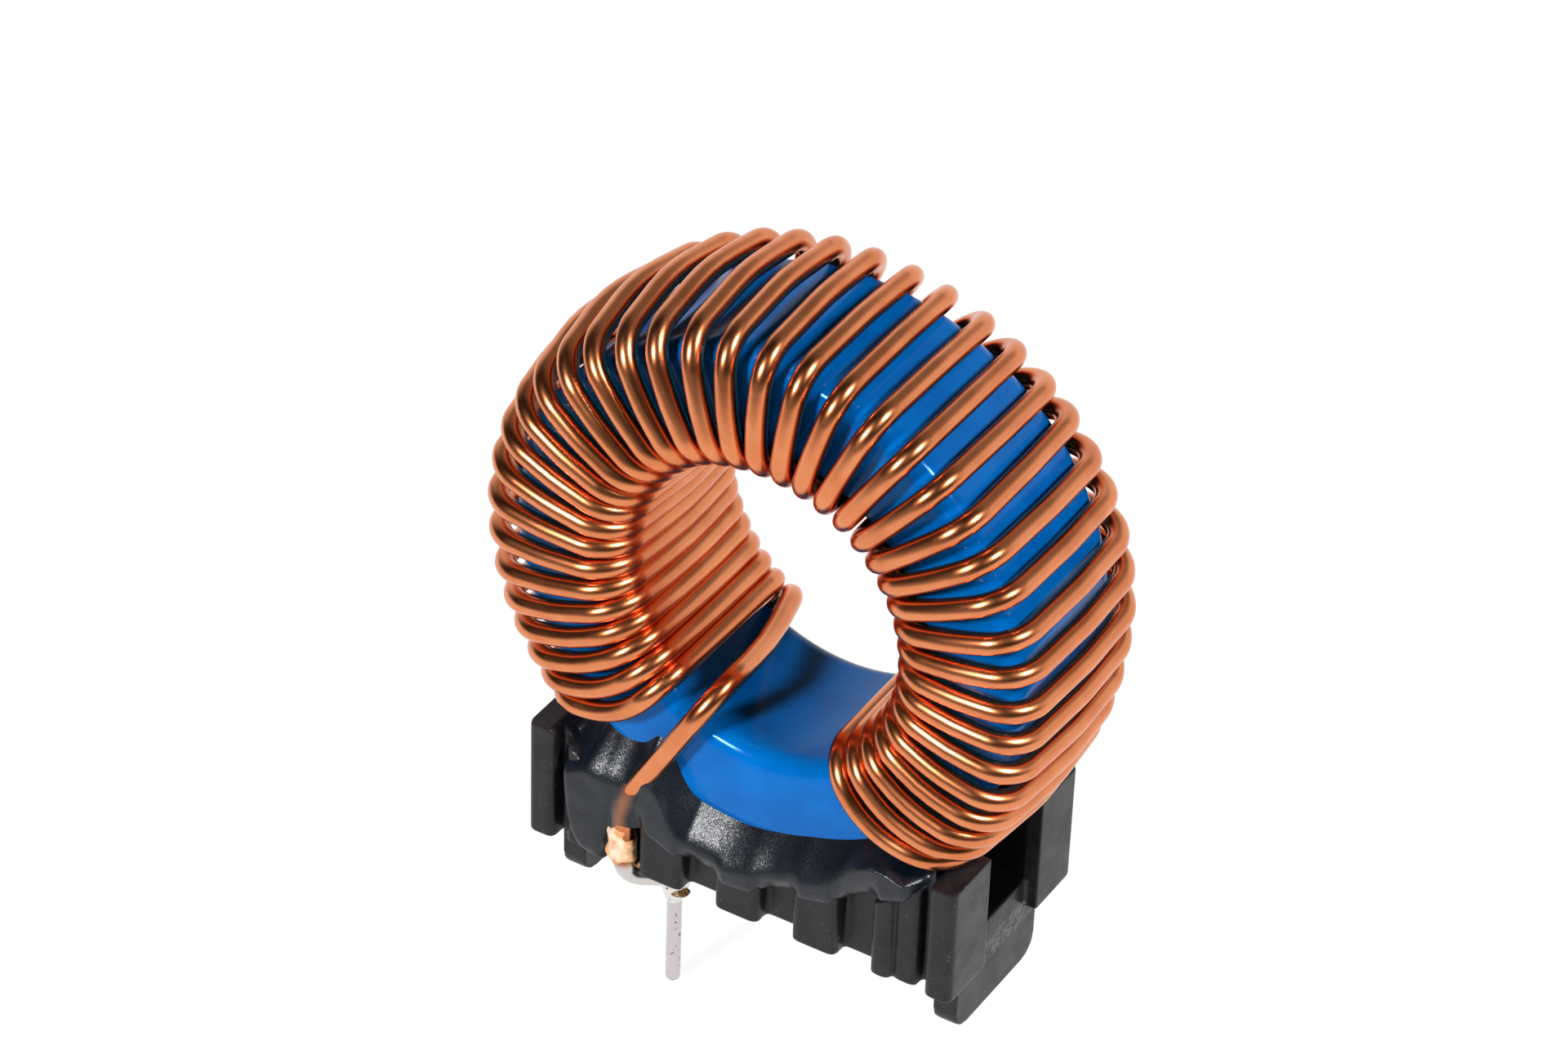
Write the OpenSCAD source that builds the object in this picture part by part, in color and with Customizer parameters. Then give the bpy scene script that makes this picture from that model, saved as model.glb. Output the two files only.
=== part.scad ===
// Toroidal power choke on an upright through-hole header.
// The seat plane of the header's feet is Z = 0, the ring's axis runs along Y and the board pins point down.

/* [Core] */
// Outer diameter of the coated core
core_od = 32.2; // [30:0.1:35]
// Inner diameter of the coated core
core_id = 20.2; // [18:0.1:22]
// Height of the coated core along its axis
core_h = 10.8; // [9:0.1:12.5]
// Radius of the coated core's edges
core_edge_r = 1.2; // [0.6:0.1:2]

/* [Winding] */
// Diameter of the enamelled wire
wire_d = 1.2; // [0.8:0.05:1.25]
// Gap between the wire and the core's coat
wind_gap = 0.05; // [0.02:0.01:0.2]
// Number of turns
turns = 37; // [20:1:37]
// Angle from one turn to the next
turn_pitch = 8; // [7.9:0.05:8.1]
// Angle of the first turn, from the top of the ring towards +X
first_turn = 145; // [140:0.5:146]
// Angle from the last turn to the bore run that becomes the front lead
lead_step = 11; // [9:0.5:14]
// Distance that the outer runs stand off, as the wire bows between the core's edges
outer_bow = 0.5; // [0.3:0.05:0.55]
// Further distance that the slackest turn's outer run stands off
slack = 1.0; // [0:0.1:1.2]
// Angle of the slackest turn, from the top of the ring towards +X
slack_angle = -55; // [-60:1:-45]
// Angle to both sides of the slackest turn over which the slack dies away
slack_reach = 75; // [50:1:76]
// Angle by which the end turns' outer runs are pushed up, away from the header
end_push = 9; // [0:0.5:9]
// Angle over which that push dies away
push_reach = 32; // [24:1:40]
// Distance that the runs on the core's faces stand off
face_bow = 0.3; // [0.2:0.05:0.35]
// Distance that the bore runs stand off
bore_bow = 0.25; // [0.1:0.05:0.3]
// Bend radius of a turn over the core's outer edges
outer_bend = 4.2; // [2.6:0.05:4.2]
// Bend radius of a turn over the core's inner edges
bore_bend = 2.75; // [2.2:0.05:2.8]
// Growth of the wire's radius in a bend
bend_swell = 0.004; // [0.002:0.001:0.01]
// Bend radius where a lead turns under the header
tail_bend = 1.0; // [0.9:0.05:1.2]

/* [Header] */
// Length of the header along X
base_l = 27.8; // [27:0.1:32]
// Width of the header along Y
base_w = 13.8; // [13.5:0.1:16]
// Height of the underside of the rails above the board
rail_z = 4.2; // [3:0.1:6]
// Height of the rails, from their underside to the top of the end posts
rail_h = 7.8; // [6:0.1:8]
// Width of the lengthwise channel between the rails
channel_w = 5.8; // [4:0.1:6.4]
// Thickness of the channel's floor
floor_t = 1.9; // [1.2:0.1:2.6]
// Height of the core's lowest point above the board
seat_z = 8.9; // [8.5:0.1:10]
// Gap between the core and its cradle
cradle_gap = 0.05; // [0.02:0.01:0.2]
// Gap between the turns and the relief in the rails
relief_gap = 0.15; // [0.1:0.05:0.5]
// Angle from the lowest point of the ring at which the relief starts
relief_angle = 28.5; // [25:0.5:29]
// Drop of the shoulder over the teeth below the cradle, where the adhesive lies
shoulder_drop = 1.5; // [0.8:0.1:2]
// Distance of the floor and feet from the ends of the posts
end_recess = 0.8; // [0.3:0.1:1.5]

/* [Teeth] */
// Distance between teeth, twice the pin grid
tooth_pitch = 5.08; // [4.8:0.01:5.2]
// Width of a tooth
tooth_w = 2.87; // [2.4:0.01:3.2]
// Depth of the grooves between the teeth
groove_d = 1.15; // [0.8:0.05:1.4]
// Radius of the teeth's upright edges
tooth_edge_r = 0.25; // [0.1:0.05:0.4]
// Width of the end posts
post_w = 1.7; // [1.2:0.1:2]
// Radius of the end posts' upright edges
post_edge_r = 0.4; // [0.2:0.05:0.6]
// Width of the rib on an end tooth
rib_w = 1.3; // [0.8:0.1:2]
// Depth of the step beside that rib
step_d = 0.3; // [0.1:0.05:0.6]

/* [Feet] */
// Thickness of a foot along X
foot_t = 1.5; // [1:0.1:2.5]
// Width of a foot along Y
foot_w = 8.8; // [6:0.1:10]
// Radius of a foot's lower corners
foot_corner_r = 0.9; // [0.3:0.1:1.5]

/* [Pins] */
// Diameter of a board pin
pin_d = 0.87; // [0.7:0.01:0.95]
// Diameter of the pin's shank, which is pressed into the rail
shank_d = 1.24; // [1.2:0.01:1.4]
// Length of a pin below the seat plane
pin_below = 4.05; // [2.5:0.05:6]
// Depth of a shank in its rail
pin_in_rail = 3; // [1.5:0.1:4]
// Distance of a pin from the header's middle, along X and along Y
pin_offset = 5.08; // [4.9:0.01:5.2]
// Radial clearance of a shank in its bore
pin_gap = 0.01; // [0.005:0.005:0.03]
// Chamfer at a pin's tip
pin_chamfer = 0.18; // [0.05:0.01:0.3]

/* [Solder and adhesive] */
// Radius of a solder fillet under the rail
solder_r = 1.05; // [0.8:0.05:1.4]
// Height of a solder fillet
solder_h = 1.7; // [1.4:0.1:2.4]
// Width of a solder fillet's lower edge
solder_lip = 0.08; // [0.04:0.01:0.15]
// Radial gap between the tail of a lead and its pin's shank
tail_gap = 0.1; // [0.05:0.05:0.3]
// Height that the adhesive climbs on the core's face
glue_climb = 1.1; // [0.8:0.1:3.5]
// Length that the adhesive runs down past the core's edge
glue_drape = 2.4; // [1.9:0.1:3]
// Bulge of the adhesive's face
glue_bulge = 0.5; // [0.3:0.05:1.6]
// Thickness of the adhesive's lower edge over the lead
glue_film = 0.15; // [0.1:0.05:0.4]
// Distance that the adhesive runs past the lead, along X
glue_past_lead = 0.78; // [0.6:0.02:0.8]

/* [Hidden] */
$fn = 48;
core_r = core_od / 2;
ring_z = seat_z + core_r;
wire_r = wire_d / 2;
stand_off = wind_gap + wire_r;
run_out_r = core_r + stand_off;
run_in_r = core_id / 2 - stand_off - bore_bow;
run_y = core_h / 2 + stand_off + face_bow;
turn_r = run_out_r + outer_bow + wire_r;

base_x = base_l / 2;
base_y = base_w / 2;
floor_x = base_x - end_recess;
post_z = rail_z + rail_h;
floor_z = rail_z + floor_t;
solder_z = rail_z - solder_h;
groove_y = base_y - groove_d;
end_tooth_x = 2 * tooth_pitch + tooth_w / 2;

// A lead clears the core's face, lies in the groove beside its pin's tooth and turns under the rail to the pin.
lead_x = 1.5 * tooth_pitch;
lead_gap = 0.15;
lead_y = max(groove_y + lead_gap, core_h / 2 + wind_gap) + wire_r;
tail_gap_z = 0.05;
tail_z = rail_z - tail_gap_z - wire_r;
tail_run = [pin_offset - lead_x, pin_offset - lead_y];
tail_end = [pin_offset, pin_offset] - tail_run / norm(tail_run) * (shank_d / 2 + tail_gap);
glue_angle = asin((lead_x + glue_past_lead) / (core_r + shoulder_drop));

overlap = 0.05;
through = 1;

// Point at an angle round the ring, measured from its top towards +X
function on_ring(r, y, angle) = [r * sin(angle), y, ring_z + r * cos(angle)];

function turn_angle(i) = first_turn - i * turn_pitch;
last_angle = turn_angle(turns - 1) - lead_step;
function bore_angle(i) = i < turns ? turn_angle(i) : last_angle;

// Angle of a turn's outer run
function outer_angle(angle) = angle
    - sign(angle) * end_push * pow(max(0, 1 - (first_turn - abs(angle)) / push_reach), 1.5);

// Distance that a turn's outer run stands off
function bow(angle) = outer_bow + slack * max(0, cos(90 * (angle - slack_angle) / slack_reach));

// Bend radius of a turn, limited to the largest that clears the core's rounded edge
function turn_bend(bend, bow) =
    min(bend, core_edge_r + stand_off + bow + face_bow + sqrt(2 * bow * face_bow));
bore_turn = turn_bend(bore_bend, bore_bow);

// Corners of the wire's route, each with its bend radius: [point, bend]
function corner(point, bend = bore_turn) = [point, bend];

function front_lead() = [
    corner(on_ring(run_in_r, -lead_y, last_angle)),
    corner([-lead_x, -lead_y, seat_z]),
    corner([-lead_x, -lead_y, tail_z], tail_bend),
    corner([-tail_end.x, -tail_end.y, tail_z])];

function rear_lead() = [
    corner([tail_end.x, tail_end.y, tail_z]),
    corner([lead_x, lead_y, tail_z], tail_bend),
    corner([lead_x, lead_y, seat_z]),
    corner(on_ring(run_in_r, lead_y, first_turn))];

function turn_corners() = [for (i = [0 : turns - 1])
    let (angle = outer_angle(turn_angle(i)), out_r = run_out_r + bow(angle),
         outer_turn = turn_bend(outer_bend, bow(angle)))
    each [
        corner(on_ring(run_in_r, -run_y, turn_angle(i))),
        corner(on_ring(out_r, -run_y, angle), outer_turn),
        corner(on_ring(out_r, run_y, angle), outer_turn),
        corner(on_ring(run_in_r, run_y, bore_angle(i + 1)))]];

function unit(v) = v / norm(v);

// Placement that turns X and Y to two unit vectors and moves the origin to a point
function frame(x, y, origin) = let (z = cross(x, y))
    [[x.x, y.x, z.x, origin.x], [x.y, y.y, z.y, origin.y], [x.z, y.z, z.z, origin.z], [0, 0, 0, 1]];

// Any unit vector square to a direction
function square_to(d) = unit(cross(d, abs(d.z) < 0.9 ? [0, 0, 1] : [1, 0, 0]));

function turn_between(a, b) = acos(max(-1, min(1, a * b)));
function leg(route, i) = unit(route[i + 1][0] - route[i][0]);
function bend_turn(route, i) = turn_between(leg(route, i - 1), leg(route, i));

// Length that a bend takes from the straight runs on both sides of a corner
function trim(route, i) = i == 0 || i == len(route) - 1 ? 0
    : route[i][1] * tan(bend_turn(route, i) / 2);

module straight_run(from, direction, length) {
    side = square_to(direction);
    multmatrix(frame(side, cross(direction, side), from)) cylinder(r = wire_r, h = length);
}

// One bend of the wire, from the direction that it arrives in to the one that it leaves in
module bend(point, arrive, leave, bend_r) {
    turn = turn_between(arrive, leave);
    inward = unit(leave - arrive);
    centre = point + inward * bend_r / cos(turn / 2);
    first = -unit(inward - (inward * arrive) * arrive);
    multmatrix(frame(first, arrive, centre))
        rotate_extrude(angle = turn) translate([bend_r, 0]) circle(r = wire_r + bend_swell);
}

// Round wire along a route of straight runs and bends
module wire(route) {
    last = len(route) - 1;
    for (i = [0 : last - 1]) {
        direction = leg(route, i);
        into_first = i == 0 ? 0 : overlap;
        into_next = i == last - 1 ? 0 : overlap;
        start = trim(route, i) - into_first;
        length = norm(route[i + 1][0] - route[i][0]) - start - trim(route, i + 1) + into_next;
        straight_run(route[i][0] + direction * start, direction, length);
    }
    for (i = [1 : last - 1])
        bend(route[i][0], leg(route, i - 1), leg(route, i), route[i][1]);
}

// Puts children drawn round Z onto the ring's axis, with their +Z to the front
module about_ring() {
    translate([0, 0, ring_z]) rotate([90, 0, 0]) children();
}

// Turns the front of the part to the rear
module to_rear() {
    rotate([0, 0, 180]) children();
}

module rounded_rect(width, height, r) {
    square([width - 2 * r, height], center = true);
    square([width, height - 2 * r], center = true);
    for (x = [-1, 1], y = [-1, 1])
        translate([x * (width / 2 - r), y * (height / 2 - r)]) circle(r = r);
}

module core_section() {
    translate([(core_od + core_id) / 4, 0])
        rounded_rect((core_od - core_id) / 2, core_h, core_edge_r);
}

module toroid_core() {
    color("#0a62b8") about_ring() rotate_extrude($fn = 120) core_section();
}

module winding() {
    color("#cd8255") wire(concat(rear_lead(), turn_corners(), front_lead()));
}

// Plan of one tooth or post on the front face, standing out of the rail
module tooth_plan(x0, x1, face_y, edge_r) {
    root_y = groove_y - through;
    translate([(x0 + x1) / 2, -root_y])
        mirror([0, 1]) {
            translate([-(x1 - x0) / 2, 0]) square([x1 - x0, face_y - edge_r - root_y]);
            translate([-(x1 - x0) / 2 + edge_r, 0]) square([x1 - x0 - 2 * edge_r, face_y - root_y]);
            for (x = [-1, 1])
                translate([x * ((x1 - x0) / 2 - edge_r), face_y - edge_r - root_y]) circle(r = edge_r);
        }
}

module front_plan() {
    for (i = [-1 : 1])
        tooth_plan(i * tooth_pitch - tooth_w / 2, i * tooth_pitch + tooth_w / 2, base_y, tooth_edge_r);
    for (s = [0, 1]) mirror([s, 0]) {
        tooth_plan(end_tooth_x - tooth_w, end_tooth_x - tooth_w + rib_w, base_y, tooth_edge_r);
        tooth_plan(end_tooth_x - tooth_w, end_tooth_x, base_y - step_d, tooth_edge_r);
        tooth_plan(base_x - post_w, base_x, base_y, post_edge_r);
    }
}

module header_plan() {
    square([base_l, 2 * groove_y], center = true);
    for (turn = [0, 180]) rotate(turn) front_plan();
}

module feet() {
    foot_h = floor_z;
    for (s = [-1, 1])
        translate([s * (floor_x - foot_t / 2), 0, 0]) rotate([90, 0, 90])
            linear_extrude(foot_t, center = true)
                translate([0, foot_h / 2]) {
                    translate([0, foot_corner_r / 2])
                        square([foot_w, foot_h - foot_corner_r], center = true);
                    square([foot_w - 2 * foot_corner_r, foot_h], center = true);
                    for (y = [-1, 1])
                        translate([y * (foot_w / 2 - foot_corner_r), foot_corner_r - foot_h / 2])
                            circle(r = foot_corner_r);
                }
}

// Room in the rails for the turns at both ends of the winding
module turn_relief() {
    relief_r = turn_r + relief_gap;
    relief_x = relief_r * sin(relief_angle);
    intersection() {
        about_ring() cylinder(r = relief_r, h = base_w + 2 * through, center = true, $fn = 120);
        for (s = [-1, 1])
            translate([s * (relief_x + base_l) - base_l, -base_w, rail_z])
                cube([2 * base_l, 2 * base_w, ring_z]);
    }
}

// Step along both faces, over the teeth, that holds the adhesive
module glue_shoulders() {
    for (s = [-1, 1])
        translate([0, s * (groove_y + base_w / 2), 0])
            about_ring() cylinder(r = core_r + shoulder_drop, h = base_w, center = true, $fn = 120);
}

module pin_bores() {
    for (s = [-1, 1])
        translate([s * pin_offset, s * pin_offset, rail_z - through])
            cylinder(d = shank_d + 2 * pin_gap, h = pin_in_rail + through);
}

module header_base() {
    color("#2b292b") difference() {
        union() {
            difference() {
                translate([0, 0, rail_z]) linear_extrude(rail_h) header_plan();
                translate([-base_l, -channel_w / 2, floor_z]) cube([2 * base_l, channel_w, rail_h]);
                for (s = [-1, 1])
                    translate([s * (floor_x + base_l) - base_l, -channel_w / 2, rail_z - through])
                        cube([2 * base_l, channel_w, rail_h]);
            }
            feet();
        }
        about_ring()
            cylinder(r = core_r + cradle_gap, h = base_w + 2 * through, center = true, $fn = 120);
        turn_relief();
        glue_shoulders();
        pin_bores();
    }
}

// Pin with its tip below the board and its thicker shank from the solder up into the rail
module terminal_pin() {
    color("#c8bebe") translate([-pin_offset, -pin_offset, 0]) {
        translate([0, 0, -pin_below])
            cylinder(d1 = pin_d - 2 * pin_chamfer, d2 = pin_d, h = pin_chamfer);
        translate([0, 0, pin_chamfer - pin_below])
            cylinder(d = pin_d, h = pin_below - pin_chamfer + solder_z);
        translate([0, 0, solder_z]) cylinder(d = shank_d, h = solder_h + pin_in_rail);
    }
}

module terminal_pin_front() {
    terminal_pin();
}

module terminal_pin_rear() {
    to_rear() terminal_pin();
}

module solder() {
    color("#d4d2ce") difference() {
        translate([-pin_offset, -pin_offset, solder_z])
            rotate_extrude()
                polygon([[shank_d / 2, 0], [shank_d / 2 + solder_lip, 0], [solder_r, solder_h - wire_r],
                         [solder_r, solder_h], [shank_d / 2, solder_h]]);
        wire(front_lead());
    }
}

module solder_front() {
    solder();
}

module solder_rear() {
    to_rear() solder();
}

// Section of the bead: its round face slopes from the core's face down over the face of the teeth
module bead_section() {
    top = [core_r - glue_climb, core_h / 2];
    foot = [core_r + glue_drape, max(base_y, lead_y + wire_r) + glue_film];
    chord = norm(foot - top);
    face_r = (chord * chord / 4 + glue_bulge * glue_bulge) / (2 * glue_bulge);
    outward = [top.y - foot.y, foot.x - top.x] / chord;
    root_y = (core_h - core_edge_r) / 2;
    difference() {
        intersection() {
            translate((top + foot) / 2 - outward * (face_r - glue_bulge)) circle(r = face_r, $fn = 96);
            translate([0, root_y]) square([foot.x, base_w]);
        }
        core_section();
        translate([core_r + cradle_gap, 0]) square([base_w, groove_y]);
        translate([core_r + shoulder_drop, 0]) square([base_w, base_y]);
    }
}

// Bead of adhesive between the core's face and the shoulder, with a lead set in it
module adhesive(lead) {
    color("#171b21") difference() {
        about_ring() rotate(-90 - glue_angle) rotate_extrude(angle = 2 * glue_angle) bead_section();
        wire(lead);
    }
}

module adhesive_front() {
    adhesive(front_lead());
}

module adhesive_rear() {
    to_rear() adhesive([for (c = rear_lead()) [[-c[0].x, -c[0].y, c[0].z], c[1]]]);
}

toroid_core();
winding();
header_base();
terminal_pin_front();
terminal_pin_rear();
solder_front();
solder_rear();
adhesive_front();
adhesive_rear();
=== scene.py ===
"""Toroidal power choke on an upright header, dressed for a studio picture.

Every length in the classes is in millimetres. Each piece is modelled at a thousand times its size and shrunk when it is
done, because Blender's own tolerances are too coarse for it at real size. The seat plane of the header's feet is Z = 0,
the ring's axis runs along Y, the front of the part looks to -Y and the board pins point down.
"""

import logging
import math
import random
from dataclasses import dataclass
from enum import Enum
from typing import Any, Callable, Iterable, Optional, Sequence

import bpy
from mathutils import Matrix, Vector, noise

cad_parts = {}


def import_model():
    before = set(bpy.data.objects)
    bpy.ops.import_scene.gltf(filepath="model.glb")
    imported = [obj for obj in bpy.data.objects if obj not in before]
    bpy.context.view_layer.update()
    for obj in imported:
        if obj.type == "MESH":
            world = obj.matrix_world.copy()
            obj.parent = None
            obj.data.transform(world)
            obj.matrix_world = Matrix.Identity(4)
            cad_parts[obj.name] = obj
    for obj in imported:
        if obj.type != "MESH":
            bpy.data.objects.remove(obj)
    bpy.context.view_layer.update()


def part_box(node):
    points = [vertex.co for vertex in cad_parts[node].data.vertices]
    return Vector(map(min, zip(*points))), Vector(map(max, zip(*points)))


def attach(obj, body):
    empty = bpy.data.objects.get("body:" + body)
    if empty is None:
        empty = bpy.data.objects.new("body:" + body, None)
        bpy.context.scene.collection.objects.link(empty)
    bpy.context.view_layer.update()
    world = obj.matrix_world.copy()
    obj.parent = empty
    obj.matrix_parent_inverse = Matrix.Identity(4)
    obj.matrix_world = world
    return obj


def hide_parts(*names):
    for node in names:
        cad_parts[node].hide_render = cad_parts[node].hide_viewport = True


LOG = logging.getLogger("choke")
MM = 0.001
BODY = "root"
NEAR = 0.01

Point = tuple[float, float]
Point3 = tuple[float, float, float]
Thing = bpy.types.Object
Material = bpy.types.Material
Tree = bpy.types.NodeTree
Socket = bpy.types.NodeSocket


class Side(Enum):
    """Long side of the part, with 1 for the front and -1 for the rear."""

    FRONT = 1.0
    REAR = -1.0

    @property
    def label(self) -> str:
        """Ending of the names of this side's pieces."""
        return self.name.lower()

    @property
    def turn(self) -> Matrix:
        """Turn about Z that brings a point from the front to this side."""
        return Matrix.Rotation(0 if self is Side.FRONT else math.pi, 3, "Z")


class Cut(Enum):
    """Ways in which one mesh changes another."""

    TAKE = "DIFFERENCE"
    JOIN = "UNION"


class Pick(Enum):
    """Kinds of element that are selected in a mesh."""

    FACES = "polygons"
    EDGES = "edges"


# Small tools for numbers and colours


def srgb(code: str) -> tuple[float, float, float, float]:
    """Turns an sRGB hex colour into the linear colour that a node takes.

    Args:
        code: A colour such as "#cd8255".

    Returns:
        Linear red, green and blue, with an alpha of 1.
    """
    channels = [int(code[i:i + 2], 16) / 255 for i in (1, 3, 5)]
    linear = [c / 12.92 if c <= 0.04045 else ((c + 0.055) / 1.055) ** 2.4 for c in channels]
    return (linear[0], linear[1], linear[2], 1.0)


def per_mm(size: float) -> float:
    """Texture scale whose pattern repeats about every size millimetres."""
    return 1 / (size * MM)


def smooth(t: float) -> float:
    """Smooth step from 0 to 1."""
    t = min(1.0, max(0.0, t))
    return t * t * (3 - 2 * t)


def along(points: Sequence[Point], x: float) -> float:
    """Height of a smooth line through a few points.

    Args:
        points: Points in order of x.
        x: Where the line is read.

    Returns:
        The line's height there, level past its ends.
    """
    if x <= points[0][0]:
        return points[0][1]
    slopes = [(b[1] - a[1]) / (b[0] - a[0]) for a, b in zip(points, points[1:])]
    tangents = [0.0, *[(s + t) / 2 if s * t > 0 else 0.0 for s, t in zip(slopes, slopes[1:])], 0.0]
    for (x0, y0), (x1, y1), m0, m1 in zip(points, points[1:], tangents, tangents[1:]):
        if x <= x1:
            width = x1 - x0
            t = (x - x0) / width
            return (y0 + (y1 - y0) * smooth(t)
                    + width * t * (1 - t) * (m0 * (1 - t) - m1 * t))
    return points[-1][1]


def soft_max(a: float, b: float, blend: float) -> float:
    """Larger of two numbers, blended where they are close."""
    return (a + b + math.sqrt((a - b) ** 2 + blend ** 2)) / 2


# Small tools for meshes


def only(obj: Thing) -> Thing:
    """Selects one object, makes it active and returns it."""
    bpy.ops.object.select_all(action="DESELECT")
    obj.select_set(True)
    bpy.context.view_layer.objects.active = obj
    return obj


def applied(obj: Thing) -> Thing:
    """Puts an object's place, turn and scale into its mesh and returns it."""
    only(obj)
    bpy.ops.object.transform_apply(location=True, rotation=True, scale=True)
    return obj


def added(name: str, primitive: Callable[..., Any], scale: Sequence[float] = (1, 1, 1), **settings: Any) -> Thing:
    """Adds a primitive with nothing else selected.

    Args:
        name: Name of the new object.
        primitive: The operator that adds it.
        scale: Scale along each axis.
        **settings: Values of the operator.

    Returns:
        The new object, with its place in its mesh.
    """
    bpy.ops.object.select_all(action="DESELECT")
    primitive(**settings)
    obj = bpy.context.object
    obj.name = name
    obj.scale = scale
    return applied(obj)


def block(name: str, low: Sequence[float], high: Sequence[float]) -> Thing:
    """Adds a block between two corners.

    Args:
        name: Name of the new object.
        low: Lowest corner, in millimetres.
        high: Highest corner, in millimetres.

    Returns:
        The block.
    """
    middle = [(a + b) / 2 for a, b in zip(low, high)]
    sizes = [b - a for a, b in zip(low, high)]
    return added(name, bpy.ops.mesh.primitive_cube_add, sizes, size=1, location=middle)


def drum(name: str, radius: float, length: float, centre: Sequence[float], sides: int = 160) -> Thing:
    """Adds a cylinder that lies along Y.

    Args:
        name: Name of the new object.
        radius: Radius in millimetres.
        length: Length along Y in millimetres.
        centre: Middle of the cylinder in millimetres.
        sides: Number of sides.

    Returns:
        The cylinder.
    """
    return added(name, bpy.ops.mesh.primitive_cylinder_add, vertices=sides, radius=radius, depth=length,
                 location=centre, rotation=(math.radians(90), 0, 0))


def modified(obj: Thing, kind: str, **settings: Any) -> Thing:
    """Adds a modifier to an object and applies it.

    Args:
        obj: The object to change.
        kind: Modifier type, such as "BEVEL".
        **settings: Values of the modifier.

    Returns:
        The same object.
    """
    only(obj)
    modifier = obj.modifiers.new(kind.title(), kind)
    for key, value in settings.items():
        setattr(modifier, key, value)
    bpy.ops.object.modifier_apply(modifier=modifier.name)
    return obj


def carve(obj: Thing, tool: Thing, cut: Cut) -> None:
    """Cuts a tool out of an object, or joins it on, and removes the tool."""
    modified(obj, "BOOLEAN", object=tool, operation=cut.value, solver="MANIFOLD")
    bpy.data.objects.remove(tool)


def pick(obj: Thing, kind: Pick, test: Callable[[Vector, Vector], bool]) -> None:
    """Enters edit mode with only the faces or edges that pass a test selected.

    Args:
        obj: The mesh object.
        kind: Whether faces or edges are selected.
        test: Takes a face's middle and normal, or an edge's two ends, in millimetres.
    """
    only(obj)
    faces = kind is Pick.FACES
    bpy.context.tool_settings.mesh_select_mode = (False, not faces, faces)
    bpy.ops.object.mode_set(mode="EDIT")
    bpy.ops.mesh.select_all(action="DESELECT")
    leave_edit()
    points = obj.data.vertices
    for item in getattr(obj.data, kind.value):
        pair = (item.center, item.normal) if faces else [points[i].co for i in item.vertices]
        item.select = test(*pair)
    bpy.ops.object.mode_set(mode="EDIT")


def edit_all(obj: Thing) -> None:
    """Enters edit mode with everything selected."""
    only(obj)
    bpy.ops.object.mode_set(mode="EDIT")
    bpy.ops.mesh.select_all(action="SELECT")


def leave_edit() -> None:
    """Goes back to object mode."""
    bpy.ops.object.mode_set(mode="OBJECT")


def sliced(obj: Thing, axis: Sequence[float], places: Iterable[float]) -> None:
    """Cuts a mesh's faces by planes across an axis.

    Args:
        obj: The mesh object.
        axis: Direction of the axis.
        places: Place of each plane along it in millimetres.
    """
    edit_all(obj)
    for place in places:
        bpy.ops.mesh.select_all(action="SELECT")
        bpy.ops.mesh.bisect(plane_co=Vector(axis) * place, plane_no=axis)
    leave_edit()


def cleaned(obj: Thing) -> Thing:
    """Merges an object's doubles, turns its faces outward and returns it."""
    edit_all(obj)
    bpy.ops.mesh.remove_doubles(threshold=0.0005)
    bpy.ops.mesh.normals_make_consistent(inside=False)
    leave_edit()
    return obj


def moved(obj: Thing, rule: Callable[[Vector], Vector]) -> Thing:
    """Moves each point of a mesh.

    Args:
        obj: The mesh object.
        rule: Gives a point's new place from its old one, in millimetres.

    Returns:
        The same object.
    """
    for point in obj.data.vertices:
        point.co = rule(point.co.copy())
    obj.data.update()
    return obj


def rough(obj: Thing, grain: float, height: float, seed: float) -> Thing:
    """Roughens a mesh along its normals.

    Args:
        obj: The mesh object.
        grain: Size of the lumps in millimetres.
        height: Height of the lumps in millimetres.
        seed: Offset into the noise.

    Returns:
        The same object.
    """
    shift = Vector((seed, seed * 0.7, seed * 1.3))
    pushes = [noise.noise(v.co / grain + shift) * height for v in obj.data.vertices]
    normals = [v.normal.copy() for v in obj.data.vertices]
    for point, normal, push in zip(obj.data.vertices, normals, pushes):
        point.co += normal * push
    obj.data.update()
    return obj


def dressed(
    obj: Thing,
    material: Material,
    nodes: Iterable[str] = (),
    smooth_deg: float = 180.0,
) -> Thing:
    """Gives a finished piece its material, shading and place in the frame.

    Args:
        obj: The finished mesh.
        material: Its material.
        nodes: CAD nodes that the piece stands for.
        smooth_deg: Largest angle between faces that shade as one surface.

    Returns:
        The same object.
    """
    obj.scale = (MM, MM, MM)
    applied(obj)
    obj.data.materials.clear()
    obj.data.materials.append(material)
    bpy.ops.object.shade_smooth_by_angle(angle=math.radians(smooth_deg))
    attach(obj, BODY)
    if nodes:
        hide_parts(*nodes)
    LOG.info("%s: %d faces, %s", obj.name, len(obj.data.polygons), material.name)
    return obj


# Finishes

SOFT = {"interpolation_type": "SMOOTHSTEP"}
TINTS = {"data_type": "RGBA"}
NUMBERS = {"data_type": "FLOAT"}


def add_node(
    tree: Tree,
    kind: str,
    settings: Optional[dict[str, Any]] = None,
    inputs: Optional[dict[Any, Any]] = None,
    output: Any = 0,
) -> Socket:
    """Adds one node with its settings and links.

    Args:
        tree: The node tree.
        kind: The node's type, without the ShaderNode that they all start with.
        settings: Values of the node's own properties.
        inputs: A value or a socket to link, by the input's name or number.
        output: Name or number of the output that is wanted.

    Returns:
        That output.
    """
    node = tree.nodes.new("ShaderNode" + kind)
    for key, value in (settings or {}).items():
        setattr(node, key, value)
    for key, value in (inputs or {}).items():
        if isinstance(value, Socket):
            tree.links.new(value, node.inputs[key])
        else:
            node.inputs[key].default_value = value
    return node.outputs[output] if len(node.outputs) else None


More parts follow.
